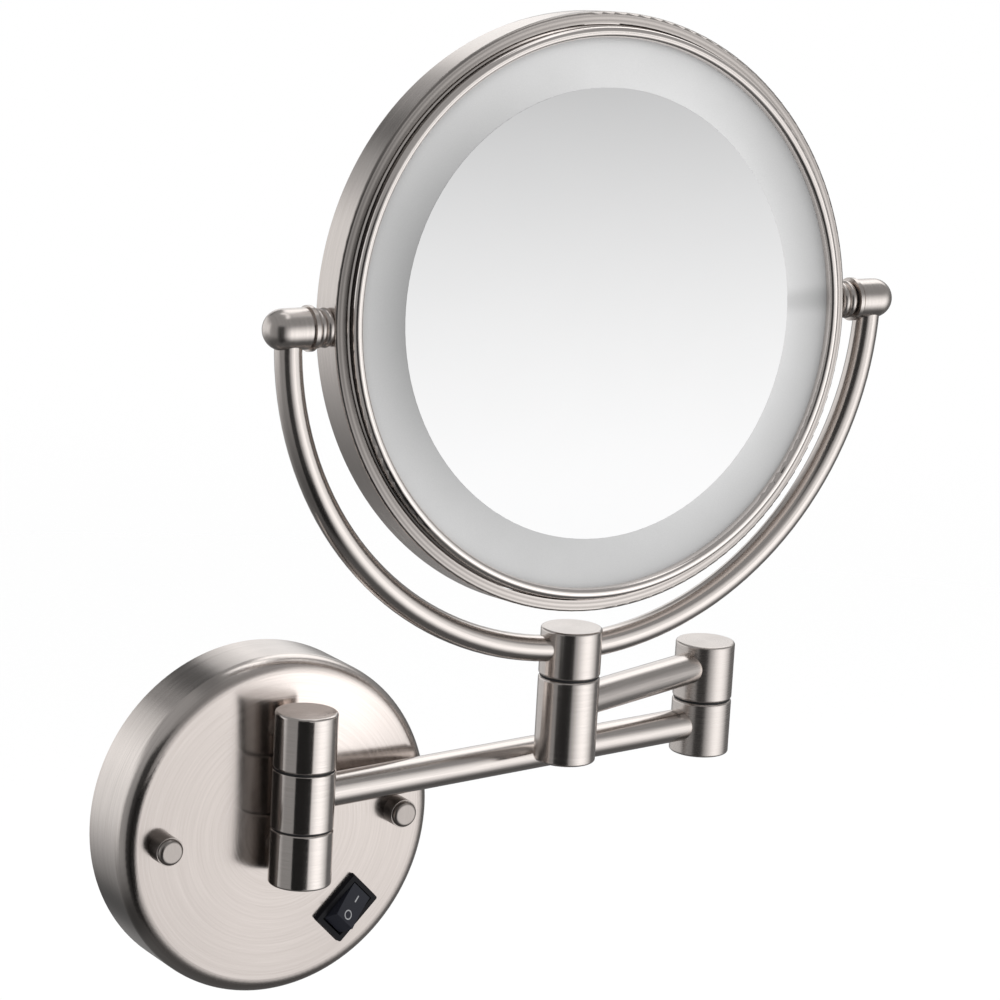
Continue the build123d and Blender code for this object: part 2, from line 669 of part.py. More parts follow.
# Finials with a flange and a domed end, and the beaded collars on the drum that turn against them
collar_start = drum_r
collar_end = drum_r + collar_length
flange_face = collar_end + pivot_washer_t
body_start = flange_face + flange_t + neck_t
bead_r = collar_length / 4
pivot_pin_start = drum_r - drum_t - trunnion_nut_t - trunnion_end
for side, hand in (("left", -1), ("right", 1)):
    side_section = Plane(pivot, x_dir=pivot_dir * hand, z_dir=yoke_forward)
    side_axis = Axis(pivot, pivot_dir)
    side_plane = Plane(pivot, x_dir=up, z_dir=pivot_dir * hand)
    with BuildPart() as finial:
        with BuildSketch(side_section):
            with BuildLine():
                Polyline(
                    (finial_tip, 0), (flange_face, 0), (flange_face, flange_r),
                    (flange_face + flange_t, flange_r), (flange_face + flange_t, neck_r),
                    (body_start, neck_r), (body_start, finial_r), (finial_tip - finial_r, finial_r),
                )
                CenterArc((finial_tip - finial_r, 0), finial_r, 0, 90)
            make_face()
        revolve(axis=side_axis)
        with BuildSketch(side_plane.offset(flange_face)):
            Circle(pivot_pin_r + fit_gap)
        extrude(amount=pivot_pin_depth, mode=Mode.SUBTRACT)
        with BuildSketch(yoke_section):
            with Locations((yoke_r, 0)):
                Circle(yoke_tube_r + fit_gap)
        revolve(axis=yoke_axis, revolution_arc=yoke_sweep, mode=Mode.SUBTRACT)
    finial.part.label = f"{side}_finial"
    export_step(finial.part, f"parts/{side}_finial.step")

    with BuildPart() as trunnion:
        with BuildSketch(side_section):
            Polygon(
                (collar_start - drum_t, 0), (collar_end, 0), (collar_end, collar_groove_r),
                (collar_start - drum_t, collar_groove_r), align=None,
            )
            for beads in (1, 3):
                with Locations((collar_end - beads * bead_r, collar_r - bead_r)):
                    Circle(bead_r)
        revolve(axis=side_axis)
        with BuildSketch(head_plane.offset(drum_back)):
            Circle(drum_r + fit_gap)
        extrude(amount=drum_front - drum_back, mode=Mode.SUBTRACT)
        with BuildSketch(side_plane.offset(pivot_pin_start)):
            Circle(trunnion_r)
        extrude(amount=collar_end - pivot_pin_start)
        with BuildSketch(side_plane.offset(pivot_pin_start)):
            Circle(pivot_pin_r + run_gap)
        extrude(amount=collar_end - pivot_pin_start, mode=Mode.SUBTRACT)
    trunnion.part.label = f"{side}_trunnion"
    export_step(trunnion.part, f"parts/{side}_trunnion.step")

with BuildPart() as pivot_pins:
    for hand in (-1, 1):
        with BuildSketch(Plane(pivot, x_dir=up, z_dir=pivot_dir * hand).offset(pivot_pin_start)):
            Circle(pivot_pin_r)
        extrude(amount=flange_face + pivot_pin_depth - pivot_pin_start)
pivot_pins.part.label = "pivot_pins"
export_step(pivot_pins.part, "parts/pivot_pins.step")

with BuildPart() as pivot_washers:
    for hand in (-1, 1):
        with BuildSketch(Plane(pivot, x_dir=up, z_dir=pivot_dir * hand).offset(collar_end)):
            Circle(collar_groove_r)
            Circle(pivot_pin_r + run_gap, mode=Mode.SUBTRACT)
        extrude(amount=pivot_washer_t - rub_gap)
pivot_washers.part.label = "pivot_washers"
export_step(pivot_washers.part, "parts/pivot_washers.step")

with BuildPart() as trunnion_nuts:
    for hand in (-1, 1):
        side_plane = Plane(pivot, x_dir=up, z_dir=pivot_dir * hand)
        with BuildSketch(side_plane.offset(pivot_pin_start + trunnion_end)):
            Circle(trunnion_nut_r)
            Circle(trunnion_r + fit_gap, mode=Mode.SUBTRACT)
        extrude(amount=trunnion_nut_t)
    with BuildSketch(head_plane.offset(drum_back)):
        Circle(2 * drum_r)
        Circle(drum_r - drum_t - fit_gap, mode=Mode.SUBTRACT)
    extrude(amount=drum_front - drum_back, mode=Mode.SUBTRACT)
trunnion_nuts.part.label = "trunnion_nuts"
export_step(trunnion_nuts.part, "parts/trunnion_nuts.step")

# Mirror head: the drum is a channel ring whose lips hold the lugs of the two bezels
with BuildPart() as drum:
    with BuildSketch(head_section):
        with BuildLine():
            inside_r = drum_r - drum_t
            Polyline(
                (drum_r, drum_back), (drum_r, drum_front), (lip_r, drum_front), (lip_r, drum_front - drum_t),
                (inside_r, drum_front - drum_t), (inside_r, drum_back + drum_t), (lip_r, drum_back + drum_t),
                (lip_r, drum_back), close=True,
            )
        make_face()
    revolve(axis=head_axis)
    rims = drum.edges().filter_by(lambda edge: edge.is_closed).sort_by(SortBy.RADIUS)[-2:]
    fillet(rims, drum_edge_r)
    for hand in (-1, 1):
        with BuildSketch(Plane(pivot, x_dir=up, z_dir=pivot_dir * hand).offset(drum_r - lip_width)):
            Circle(trunnion_r + fit_gap)
        extrude(amount=lip_width, mode=Mode.SUBTRACT)
drum.part.label = "drum"
export_step(drum.part, "parts/drum.step")

# Bezels: a half-round bead over the edge of the glass, a skirt inside the drum and lugs under the drum's lip
bead_middle = skirt_r - bead_width / 2
lug_root = skirt_t / 2
lug_middle = skirt_r + (lug_reach - lug_root) / 2
bezels = (
    ("front", 1, front_glass_face, skirt_split, drum_front - drum_t),
    ("rear", -1, rear_glass_face, skirt_split - skirt_gap, drum_back + drum_t),
)
for side, way, glass_face, skirt_end, lip_face in bezels:
    base = glass_face + way * bead_base
    with BuildPart() as bezel:
        with BuildSketch(head_section):
            with BuildLine():
                Polyline(
                    (skirt_r, base), (skirt_r, skirt_end), (skirt_inner_r, skirt_end),
                    (skirt_inner_r, glass_face), (bead_inner_r, glass_face), (bead_inner_r, base),
                )
                ThreePointArc(
                    (bead_inner_r, base), (bead_middle, base + way * bead_width / 2), (skirt_r, base)
                )
            make_face()
        revolve(axis=head_axis)
        with BuildSketch(head_plane.offset(lip_face)):
            with PolarLocations(lug_middle, lug_count, start_angle=180 / lug_count):
                Rectangle(lug_reach + lug_root, lug_width)
        extrude(amount=-way * lug_t)
    bezel.part.label = f"{side}_bezel"
    export_step(bezel.part, f"parts/{side}_bezel.step")

# Front pane: silvered in the middle, with a finely etched ring that lets the light through
with BuildPart() as front_mirror:
    with BuildSketch(head_plane.offset(front_glass_face - front_glass_t)):
        Circle(glass_r)
    extrude(amount=front_glass_t)
    with BuildSketch(head_plane.offset(front_glass_face)):
        Circle(bead_inner_r)
        Circle(clear_r, mode=Mode.SUBTRACT)
    extrude(amount=-etch_depth, mode=Mode.SUBTRACT)
front_mirror.part.label = "front_mirror"
export_step(front_mirror.part, "parts/front_mirror.step")

# Rear pane, bent to a hollow for magnifying
rear_sag = rear_glass_curve - sqrt(rear_glass_curve**2 - glass_r**2)
with BuildPart() as rear_mirror:
    with BuildSketch(head_section):
        with BuildLine():
            rim_inside = rear_glass_face + rear_glass_t
            middle = rear_glass_face + rear_sag
            ThreePointArc(
                (-glass_r, rear_glass_face), (0, middle), (glass_r, rear_glass_face)
            )
            Line((glass_r, rear_glass_face), (glass_r, rim_inside))
            ThreePointArc((glass_r, rim_inside), (0, middle + rear_glass_t), (-glass_r, rim_inside))
            Line((-glass_r, rim_inside), (-glass_r, rear_glass_face))
        make_face()
        split(bisect_by=Plane.YZ)
    revolve(axis=head_axis)
rear_mirror.part.label = "rear_mirror"
export_step(rear_mirror.part, "parts/rear_mirror.step")

# Light tray between the panes, with the LED board on its floor and the diffuser under the glass
tray_front = front_glass_face - front_glass_t
floor_face = tray_back + tray_floor
ledge_face = tray_front - diffuser_t
ring_outer_r = tray_r - tray_wall
ring_inner_r = tray_inner_r + tray_wall
tray_rest = middle + rear_glass_t - rear_glass_curve + sqrt(rear_glass_curve**2 - ring_outer_r**2)
with BuildPart() as light_tray:
    with BuildSketch(head_section):
        with BuildLine():
            Polyline(
                (0, tray_back), (ring_outer_r, tray_back), (ring_outer_r, tray_rest), (tray_r, tray_rest),
                (tray_r, tray_front), (ring_outer_r, tray_front), (ring_outer_r, ledge_face),
                (ring_outer_r - diffuser_ledge, ledge_face), (ring_outer_r - diffuser_ledge, floor_face),
                (ring_inner_r + diffuser_ledge, floor_face), (ring_inner_r + diffuser_ledge, ledge_face),
                (ring_inner_r, ledge_face), (ring_inner_r, tray_front), (tray_inner_r, tray_front),
                (tray_inner_r, floor_face), (0, floor_face), close=True,
            )
        make_face()
    revolve(axis=head_axis)
light_tray.part.label = "light_tray"
export_step(light_tray.part, "parts/light_tray.step")

with BuildPart() as diffuser:
    with BuildSketch(head_plane.offset(ledge_face)):
        Circle(ring_outer_r - fit_gap)
        Circle(ring_inner_r + fit_gap, mode=Mode.SUBTRACT)
    extrude(amount=diffuser_t)
diffuser.part.label = "diffuser"
export_step(diffuser.part, "parts/diffuser.step")

board_inner_r = ring_inner_r + board_margin
board_outer_r = ring_outer_r - board_margin
with BuildPart() as led_board:
    with BuildSketch(head_plane.offset(floor_face)):
        Circle(board_outer_r)
        Circle(board_inner_r, mode=Mode.SUBTRACT)
    extrude(amount=board_t)
led_board.part.label = "led_board"
export_step(led_board.part, "parts/led_board.step")

with BuildPart() as led_chips:
    with BuildSketch(head_plane.offset(floor_face + board_t)):
        with PolarLocations((board_inner_r + board_outer_r) / 2, led_count):
            Rectangle(led_width, led_length)
    extrude(amount=led_t)
led_chips.part.label = "led_chips"
export_step(led_chips.part, "parts/led_chips.step")
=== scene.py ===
# %% [markdown]
# # A lit shaving mirror on a folding wall arm
# The CAD model brings every solid of the mirror and every joint: a round plate for the wall, two arms
# with turned knuckles, a bent yoke, and a mirror head that tilts between two finials. This lesson
# dresses it. It starts by loading that model, whose pieces already sit in their places, in metres.

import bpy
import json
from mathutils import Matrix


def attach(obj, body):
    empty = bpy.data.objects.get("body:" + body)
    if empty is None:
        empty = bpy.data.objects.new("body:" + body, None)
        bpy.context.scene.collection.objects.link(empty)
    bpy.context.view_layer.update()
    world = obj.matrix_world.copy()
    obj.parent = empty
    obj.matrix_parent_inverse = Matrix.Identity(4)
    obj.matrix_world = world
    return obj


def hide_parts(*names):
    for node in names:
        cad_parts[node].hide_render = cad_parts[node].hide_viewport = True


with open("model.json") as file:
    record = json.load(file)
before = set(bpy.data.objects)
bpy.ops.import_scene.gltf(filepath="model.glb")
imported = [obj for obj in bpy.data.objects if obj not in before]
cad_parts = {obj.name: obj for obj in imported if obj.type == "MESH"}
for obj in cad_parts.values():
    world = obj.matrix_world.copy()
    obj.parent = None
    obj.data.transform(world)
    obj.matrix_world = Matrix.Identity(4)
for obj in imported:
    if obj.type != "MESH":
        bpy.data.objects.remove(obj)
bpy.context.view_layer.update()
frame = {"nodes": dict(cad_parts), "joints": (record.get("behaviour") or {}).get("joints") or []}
nodes = frame["nodes"]

# %% [markdown]
# ## Camera
# The object is seen from its left and a little above, through a long lens, so that the circles stay
# calm ellipses. The place and the turn were worked out from the ellipses of the plate and the mirror. A
# camera could also be aimed with a Track To constraint, but plain angles keep the small roll of the
# picture.

# %% Place the camera
from math import cos, pi, radians, sin

import bpy
from mathutils import Matrix, Quaternion, Vector

CAMERA_PLACE = (-0.62904, -1.13411, 0.41410)
CAMERA_TURN = (76.9404, -3.1353, -31.9214)
LENS = 140.3
FILM_WIDTH = 36

scene = bpy.context.scene
bpy.ops.object.select_all(action="DESELECT")
bpy.ops.object.camera_add(location=CAMERA_PLACE, rotation=[radians(angle) for angle in CAMERA_TURN])
camera = bpy.context.object
camera.name = "photo_camera"
camera.data.sensor_width = FILM_WIDTH
camera.data.lens = LENS
scene.camera = camera
scene.view_settings.view_transform = "Standard"
print("camera lens", round(camera.data.lens, 1), "mm")

# %% [markdown]
# ## Helpers for node trees
# The room's light and every finish are node trees. A node is added, its settings are set, and each
# input gets a number, a colour or a wire from another node. One small helper does that, and a few more
# stand for the nodes that come again and again, so a tree reads like a list.

# %% Node helpers
def add(tree, kind, plugs=None, **settings):
    node = tree.nodes.new("ShaderNode" + kind)
    for name, value in settings.items():
        setattr(node, name, value)
    for socket, value in (plugs or {}).items():
        if isinstance(value, bpy.types.NodeSocket):
            tree.links.new(value, node.inputs[socket])
        else:
            node.inputs[socket].default_value = value
    return node


def sum_up(tree, operation, *values):
    return add(tree, "Math", dict(enumerate(values)), operation=operation).outputs[0]


def remap(tree, value, start, end, low=0.0, high=1.0, curve="LINEAR"):
    """The value carried from the range start to end into the range low to high."""
    ranges = {"Value": value, "From Min": start, "From Max": end, "To Min": low, "To Max": high}
    return add(tree, "MapRange", ranges, interpolation_type=curve).outputs["Result"]


def blend_levels(tree, amount, first, second):
    return add(tree, "Mix", {0: amount, 2: first, 3: second}, data_type="FLOAT").outputs[0]


# %% [markdown]
# ## Studio room
# Bare metal has little colour of its own: it shows the room. A product studio is a white tent with a
# few dark cards, and those cards draw the dark stripes on round metal. They could be planes around the
# object, but planes get in the way of other views, so they are painted into the world by direction. The
# camera sees plain white.

# %% Directions in the room
world = bpy.data.worlds.new("studio_room")
scene.world = world
world.use_nodes = True
room = world.node_tree
room.nodes.clear()
direction = add(room, "TexCoord").outputs["Generated"]
axes = add(room, "SeparateXYZ", {"Vector": direction}).outputs
room_turn = sum_up(room, "ARCTAN2", axes["Y"], axes["X"])
room_height = sum_up(room, "ARCSINE", axes["Z"])


def hang_card(behind, level, place, half_size, soft):
    """A card of one brightness. Angles are in degrees: first round from +X, then up from the horizon."""
    aside = sum_up(room, "WRAP", sum_up(room, "SUBTRACT", room_turn, radians(place[0])), pi, -pi)
    above = sum_up(room, "SUBTRACT", room_height, radians(place[1]))
    cover = 1.0
    for offset, half, fade in ((aside, half_size[0], soft[0]), (above, half_size[1], soft[1])):
        away = sum_up(room, "ABSOLUTE", offset)
        edge = remap(room, away, radians(half + fade), radians(half - fade), curve="SMOOTHSTEP")
        cover = sum_up(room, "MULTIPLY", cover, edge)
    return blend_levels(room, cover, behind, level)


# %% Cards of the tent
ROOM_LIGHT = 0.85
tent = remap(room, room_height, radians(-50), radians(-20), 0.10, 0.30, "SMOOTHSTEP")
cards = (
    # level, place, half size, softness
    (0.90, (127, 3), (38, 20), (9, 14)),
    (1.50, (-56, -13), (30, 23), (28, 20)),
    (0.03, (-128, -12), (20, 40), (3, 5)),
    (0.16, (24, -20), (32, 26), (8, 10)),
    (1.60, (39, 42), (22, 16), (9, 9)),
    (1.05, (65, 15), (17, 13), (7, 7)),
    (0.08, (90, 32), (9, 6), (4, 4)),
    (0.03, (98, 23.5), (6, 5), (3, 3)),
    (0.14, (94, -31), (9, 6), (5, 5)),
    (1.30, (10, 72), (80, 7), (10, 6)),
)
for card in cards:
    tent = hang_card(tent, *card)
path = add(room, "LightPath").outputs
plain = blend_levels(room, path["Is Glossy Ray"], ROOM_LIGHT, tent)
seen = sum_up(room, "MAXIMUM", path["Is Camera Ray"], path["Is Transmission Ray"])
brightness = blend_levels(room, seen, plain, 1.0)
backdrop = add(room, "Background", {"Color": brightness, "Strength": 1.0})
add(room, "OutputWorld", {"Surface": backdrop.outputs["Background"]})
print("room cards", len(cards))

# %% [markdown]
# ## Floor and lamps
# A wall mirror hangs well above the floor, so the floor is a pale disc some way below it, which fades
# into the white room. It keeps the soft shadow of the object. Its paper is the first finish, so two
# helpers for finishes come with it. Two large square lamps stand for soft boxes.

# %% Floor
FLOOR_PLACE = (0.1, 0, -0.3)
FLOOR_RADIUS = 2.4
FLOOR_SIDES = 96

bpy.ops.mesh.primitive_circle_add(
    vertices=FLOOR_SIDES, radius=FLOOR_RADIUS, fill_type="NGON", location=FLOOR_PLACE,
)
floor = bpy.context.object
floor.name = "floor"
floor.visible_glossy = False
print("floor at", FLOOR_PLACE)

# %% Helpers for finishes
def new_finish(name):
    finish = bpy.data.materials.new(name)
    finish.use_nodes = True
    finish.node_tree.nodes.clear()
    return finish


def blend(tree, amount, first, second):
    return add(tree, "Mix", {0: amount, 6: first, 7: second}, data_type="RGBA").outputs[2]


# %% Paper of the floor
FADE_START = 0.8
FADE_END = 2.2
FLOOR_GLOW = 1.12
PAPER_DARK = (0.90, 0.90, 0.90, 1)
PAPER_LIGHT = (0.94, 0.94, 0.94, 1)

paper = new_finish("pale_paper")
weave = paper.node_tree
spread = add(weave, "VectorMath", {0: add(weave, "TexCoord").outputs["Object"]}, operation="LENGTH")
fade = remap(weave, spread.outputs["Value"], FADE_START, FADE_END, curve="SMOOTHSTEP")
fibre = add(weave, "TexNoise", {"Scale": 900.0, "Detail": 3.0})
matt = add(weave, "BsdfDiffuse", {"Color": blend(weave, fibre.outputs["Fac"], PAPER_DARK, PAPER_LIGHT)})
glow = add(weave, "Emission", {"Color": (1, 1, 1, 1), "Strength": FLOOR_GLOW})
lit = add(weave, "MixShader", {0: 0.5, 1: matt.outputs[0], 2: glow.outputs[0]})
clear = add(weave, "BsdfTransparent")
faded = add(weave, "MixShader", {0: fade, 1: lit.outputs[0], 2: clear.outputs[0]})
add(weave, "OutputMaterial", {"Surface": faded.outputs[0]})
floor.data.materials.append(paper)
print("paper fades from", FADE_START, "to", FADE_END, "m")

# %% Lamps
LAMP_SIZE = 1.0
lamps = (
    # name, place, turn, power
    ("front_lamp", (-0.9, -1.2, 1.3), (radians(48), 0, radians(-37)), 9.0),
    ("side_lamp", (1.3, -0.6, 0.9), (radians(62), 0, radians(68)), 6.0),
)
for name, place, turn, power in lamps:
    bpy.ops.object.light_add(type="AREA", location=place, rotation=turn)
    lamp = bpy.context.object
    lamp.name = name
    lamp.data.size = LAMP_SIZE
    lamp.data.energy = power
    lamp.visible_camera = False
    lamp.visible_glossy = False
print("lamps", [row[0] for row in lamps])

# %% [markdown]
# ## Black flag
# A studio keeps a black flag close to polished things, which gives each round piece a dark stripe of
# its own width. Painted into the world it would be the same on every knuckle, so this one is a real
# panel low in front of the plate. Only reflections can see it, and only from close by, so that it
# seldom stands in the mirror.

# %% Flag
FLAG_LEFT = Vector((-0.114, -0.110, 0))
FLAG_RIGHT = Vector((0.0, -0.329, 0))
FLAG_TOP = 0.02
FLAG_BOTTOM = -0.11


def hide_panel(panel):
    """Leaves a panel of the studio to reflections alone."""
    for ray in ("camera", "diffuse", "shadow", "transmission"):
        setattr(panel, "visible_" + ray, False)


bpy.ops.object.select_all(action="DESELECT")
bpy.ops.mesh.primitive_plane_add(size=1, rotation=(radians(90), 0, 0))
flag = bpy.context.object
flag.name = "black_flag"
along = FLAG_RIGHT - FLAG_LEFT
flag.rotation_euler.z = along.xy.angle_signed(Vector((1, 0)))
flag.scale = (along.length, FLAG_TOP - FLAG_BOTTOM, 1)
flag.location = (FLAG_LEFT + FLAG_RIGHT) / 2 + Vector((0, 0, (FLAG_TOP + FLAG_BOTTOM) / 2))
bpy.ops.object.transform_apply(location=True, rotation=True, scale=True)
hide_panel(flag)
print("flag corners", [[round(c, 3) for c in corner.co] for corner in flag.data.vertices])

# %% Felt of the flag
FLAG_REACH = 0.26
FLAG_LOST = FLAG_REACH * 1.2
FELT_DARK = (0.008, 0.008, 0.008, 1)
FELT_LIGHT = (0.016, 0.016, 0.016, 1)


def noise(tree, at, scale, detail=2.0, **more):
    return add(tree, "TexNoise", {"Vector": at, "Scale": scale, "Detail": detail, **more}).outputs["Fac"]


felt = new_finish("black_felt")
cloth = felt.node_tree
nap = noise(cloth, add(cloth, "TexCoord").outputs["Object"], 700.0)
black = add(cloth, "BsdfDiffuse", {"Color": blend(cloth, nap, FELT_DARK, FELT_LIGHT)})
far = remap(cloth, add(cloth, "LightPath").outputs["Ray Length"], FLAG_REACH, FLAG_LOST)
gone = add(cloth, "BsdfTransparent")
near = add(cloth, "MixShader", {0: far, 1: black.outputs[0], 2: gone.outputs[0]})
add(cloth, "OutputMaterial", {"Surface": near.outputs[0]})
flag.data.materials.append(felt)
print("flag fades from", FLAG_REACH, "to", round(FLAG_LOST, 3), "m")

# %% [markdown]
# ## Graded sheet for the mirror
# A mirror shows one small part of the room sharply, so a photographer hangs a sheet just there, light
# below and darker above, and the pane gets its quiet shading. It stands where the camera's rays meet it
# after the mirror. The pane could be given the shading as a colour, but then it would not be a clean
# mirror from other sides.

# %% Sheet
SHEET_PLACE = Vector((0.3217, -0.4079, 0.1645))
SHEET_TURN = 31.4
SHEET_WIDTH = 0.19
SHEET_HEIGHT = 0.215

bpy.ops.object.select_all(action="DESELECT")
bpy.ops.mesh.primitive_plane_add(size=1, rotation=(radians(90), 0, radians(SHEET_TURN)))
sheet = bpy.context.object
sheet.name = "graded_sheet"
sheet.scale = (SHEET_WIDTH, SHEET_HEIGHT, 1)
sheet.location = SHEET_PLACE
bpy.ops.object.transform_apply(location=True, rotation=True, scale=True)
hide_panel(sheet)
print("sheet stands at", [round(v, 3) for v in SHEET_PLACE])

# %% Paper of the sheet
SHADE_START = 0.08
SHADE_END = 0.265
SHADE_BEND = 1.5
SHEET_LIGHT = 1.04
SHEET_DARK = 0.61

grading = new_finish("graded_paper")
tree = grading.node_tree
height = add(tree, "SeparateXYZ", {"Vector": add(tree, "TexCoord").outputs["Object"]}).outputs["Z"]
climb = sum_up(tree, "POWER", remap(tree, height, SHADE_START, SHADE_END), SHADE_BEND)
glow = add(tree, "Emission", {"Strength": remap(tree, climb, 0.0, 1.0, SHEET_LIGHT, SHEET_DARK)})
add(tree, "OutputMaterial", {"Surface": glow.outputs[0]})
sheet.data.materials.append(grading)
print("sheet shades from", SHEET_LIGHT, "to", SHEET_DARK)

# %% [markdown]
# ## Satin nickel
# Nearly all that shows is brass with a brushed nickel plating: a warm grey metal, with fine scratches
# left by the belt. On turned pieces the scratches run round the axis, on tubes they run along. An image
# could carry them, but noise on the piece's own coordinates is finer and has no seam. The scratches
# change tone, gloss and height a little.

# %% Scratches about an axis
def on_axis(tree, centre, axis):
    """Object coordinates moved so that the piece's axis is Z and its middle is the origin."""
    turn = Vector(axis).rotation_difference(Vector((0, 0, 1)))
    moved = {
        "Vector": add(tree, "TexCoord").outputs["Object"],
        "Location": turn @ -Vector(centre), "Rotation": turn.to_euler(),
    }
    return add(tree, "Mapping", moved).outputs["Vector"]


def from_axis(tree, x, y):
    flat = add(tree, "CombineXYZ", {"X": x, "Y": y}).outputs[0]
    return add(tree, "VectorMath", {0: flat}, operation="LENGTH").outputs["Value"]


def round_scratches(tree, centre, axis, fine, long):
    """Noise drawn out round the axis: as fine as that across, and about that long, in metres."""
    x, y, z = add(tree, "SeparateXYZ", {"Vector": on_axis(tree, centre, axis)}).outputs
    radius = from_axis(tree, x, y)
    spot = add(
        tree, "CombineXYZ",
        {
            "X": sum_up(tree, "DIVIDE", radius, fine),
            "Y": sum_up(tree, "DIVIDE", z, fine),
            "Z": sum_up(tree, "DIVIDE", x, long),
        },
    )
    drawn = {"Vector": spot.outputs[0], "W": sum_up(tree, "DIVIDE", y, long)}
    return add(
        tree, "TexNoise", {**drawn, "Scale": 1.0, "Detail": 4.0, "Roughness": 0.65}, noise_dimensions="4D",
    ).outputs["Fac"]


def tinted(tree, tone, tint):
    return add(tree, "VectorMath", {0: tone, 1: tint}, operation="MULTIPLY").outputs[0]


def long_scratches(tree, centre, axis, fine, long):
    """Noise drawn out along the axis."""
    spot = tinted(tree, on_axis(tree, centre, axis), (1 / fine, 1 / fine, 1 / long))
    return noise(tree, spot, 1.0, 4.0, Roughness=0.65)


# %% Nickel finish
NICKEL_DARK = (0.610, 0.562, 0.532, 1)
NICKEL_LIGHT = (0.765, 0.712, 0.678, 1)


def nickel(name, grain_of, gloss, streak=0.0, about=None, sheen=None):
    """Brushed nickel. A streak draws highlights out across scratches that run round the axis named."""
    finish = new_finish(name)
    tree = finish.node_tree
    grain = grain_of(tree)
    clear = remap(tree, grain, 0.22, 0.78)
    tone = blend(tree, clear, NICKEL_DARK, NICKEL_LIGHT)
    # painted light or shade, where a piece has it, changes the tone here
    if sheen:
        tone = sheen(tree, tone)
    bump = add(tree, "Bump", {"Height": grain, "Strength": 0.15, "Distance": 0.00004})
    shader = add(
        tree, "BsdfPrincipled",
        {
            "Base Color": tone, "Metallic": 1.0, "Roughness": remap(tree, clear, 0.0, 1.0, *gloss),
            "Normal": bump.outputs["Normal"], "Anisotropic": streak, "Anisotropic Rotation": 0.25,
        },
    )
    if about:
        tangent = add(tree, "Tangent", direction_type="RADIAL", axis=about)
        tree.links.new(tangent.outputs["Tangent"], shader.inputs["Tangent"])
    add(tree, "OutputMaterial", {"Surface": shader.outputs[0]})
    return finish


def round_nickel(name, centre, axis, fine, long, gloss, **more):
    return nickel(name, lambda tree: round_scratches(tree, centre, axis, fine, long), gloss, **more)


def long_nickel(name, centre, axis, fine, long, gloss, **more):
    return nickel(name, lambda tree: long_scratches(tree, centre, axis, fine, long), gloss, **more)


def wear(finish, *names):
    for name in names:
        nodes[name].material_slots[0].material = finish
    print(finish.name, "on", ", ".join(names))


# %% [markdown]
# ## Where the axes are
# The finishes follow the pieces' own axes, so the axes are needed here too: the two hinges, the front
# knuckle under the yoke, and the middle of the mirror. They could be typed in, but the CAD model knows
# all its joints, so they are read from there. Both arms lie level: the inner one at the height of the
# wall hinge, the outer one at the height of the elbow's joint.

# %% Axes of the object
joint_places = {joint["name"]: Vector(joint["pos_m"]) for joint in frame["joints"]}
joint_axes = {joint["name"]: Vector(joint["axis"]).normalized() for joint in frame["joints"]}
WALL_HINGE = joint_places["wall_hinge"]
OUTER_ROOT = joint_places["elbow_hinge"]
ELBOW = Vector((*OUTER_ROOT.xy, WALL_HINGE.z))
FRONT = Vector((*joint_places["yoke_swivel"].xy, OUTER_ROOT.z))
PIVOT = joint_places["mirror_tilt"]
TILT = radians(5)
UP = Vector((0, 0, 1))
ACROSS = joint_axes["mirror_tilt"]
YOKE_FORWARD = ACROSS.cross(UP)
HEAD_FORWARD = YOKE_FORWARD * cos(TILT) + UP * sin(TILT)
HEAD_UP = UP * cos(TILT) - YOKE_FORWARD * sin(TILT)
print("mirror faces", [round(v, 3) for v in HEAD_FORWARD])

# %% [markdown]
# ## Painted sheen of the plate
# A face brushed in rings throws its light into fans that start at the middle. Anisotropic roughness
# gives the start of that, and the broad part is painted into the tone as a highlight by direction,
# because it comes from far outside the narrow highlight. The rim was polished on its own: it is lighter
# than the face, and a few light and dark bands are painted across it as reflections of the room.

# %% Fans of painted light and shade
def painted_fan(tree, turn, middle, reach, strength):
    """Painted light or shade: a soft change of tone round one direction, in degrees from the right."""
    aside = sum_up(tree, "WRAP", sum_up(tree, "SUBTRACT", turn, radians(middle)), pi, -pi)
    return remap(tree, sum_up(tree, "ABSOLUTE", aside), radians(reach), 0.0, 0.0, strength, "SMOOTHERSTEP")


def all_painted_fans(tree, turn, base, *painted_fans):
    """A base with several fans of painted light or shade on it, each given by its direction, reach and
    strength.
    """
    level = base
    for middle, reach, strength in painted_fans:
        level = sum_up(tree, "ADD", painted_fan(tree, turn, middle, reach, strength), level)
    return level


def polar(tree, centre, axis):
    """Radius from the axis, turn round it from the piece's right, and distance along it."""
    x, y, z = add(tree, "SeparateXYZ", {"Vector": on_axis(tree, centre, axis)}).outputs
    return from_axis(tree, x, y), sum_up(tree, "ARCTAN2", y, x), z


# %% Painted sheen on the plate
WALL = (0, 0, 0)
WALL_OUT = (0, -1, 0)
FACE_TONE = (0.745, 0.731, 0.727)
FAN_START = 0.008
FAN_END = 0.045
RIM_START = 0.0565
RIM_END = 0.0595


def scaled(tree, tone, level):
    return add(tree, "VectorMath", {0: tone, "Scale": level}, operation="SCALE").outputs[0]


def plate_sheen(tree, tone):
    radius, turn, _ = polar(tree, WALL, WALL_OUT)
    # painted highlight: fans of light that start near the middle, broad towards the upper right, faint at the
    # bottom
    painted_fans = all_painted_fans(tree, turn, 0.0, (70, 62, 0.62), (258, 45, 0.06))
    painted_fans = sum_up(tree, "MULTIPLY", painted_fans, remap(tree, radius, FAN_START, FAN_END))
    face = scaled(tree, tinted(tree, tone, FACE_TONE), sum_up(tree, "ADD", painted_fans, 1.0))
    # painted reflections: light and dark bands of the room across the rim
    painted_bands = all_painted_fans(tree, turn, 1.0, (102, 12, 0.3), (118, 9, -0.35), (142, 30, 0.28), (206, 16, -0.5))
    rim = remap(tree, radius, RIM_START, RIM_END, curve="SMOOTHSTEP")
    return blend(tree, rim, face, scaled(tree, tone, painted_bands))
